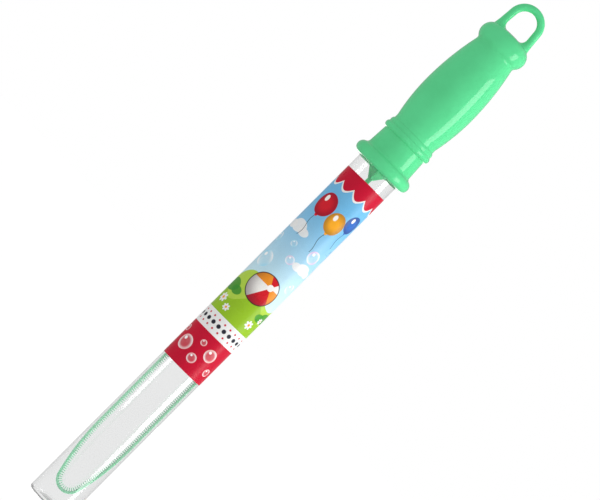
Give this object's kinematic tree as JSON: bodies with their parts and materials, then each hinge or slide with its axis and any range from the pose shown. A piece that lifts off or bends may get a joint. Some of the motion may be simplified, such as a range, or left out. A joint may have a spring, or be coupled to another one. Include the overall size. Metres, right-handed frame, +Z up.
{
  "type": "bubble wand",
  "caption": "Toy bubble wand: a clear labelled tube for soap solution, closed by a screw-on baluster handle with a hanging loop that carries a long toothed wand loop.",
  "frame": {"origin": "middle of the ring that the tube stands on, on the floor", "axes": "+Z up along the tube to the hanging loop; the wand's loop and the hanging loop both lie in the XZ plane, and the pictured front faces -Y"},
  "size_m": [0.0374, 0.0374, 0.3761],
  "materials": {
    "clear_plastic": "clear, polished",
    "printed_label": "printed film, glossy",
    "seal_foam": "closed-cell foam, matt",
    "mint_plastic": "moulded, glossy",
    "mint_wand_plastic": "moulded, satin",
    "mint_handle_plastic": "blow-moulded, glossy"
  },
  "bodies": {
    "tube": {"tube": "clear_plastic", "label": "printed_label"},
    "seal": {"seal_washer": "seal_foam"},
    "wand": {"stopper": "mint_plastic", "wand": "mint_wand_plastic"},
    "handle": {"handle": "mint_handle_plastic"}
  },
  "joints": [
    {"name": "wand_pull", "type": "slide", "parent": "tube", "child": "seal", "axis": [0, 0, 1], "range_m": [0, 0.28]},
    {"name": "thread_rise", "type": "slide", "parent": "seal", "child": "wand", "axis": [0, 0, 1], "range_m": [0, 0.006]},
    {"name": "handle_turn", "type": "hinge", "parent": "wand", "child": "handle", "pos_m": [0, 0, 0.265], "axis": [0, 0, 1], "range_deg": [0, 540]}
  ],
  "couplings": [
    {"joint": "thread_rise", "follows": "handle_turn", "m_per_rad": 0.0006366}
  ]
}
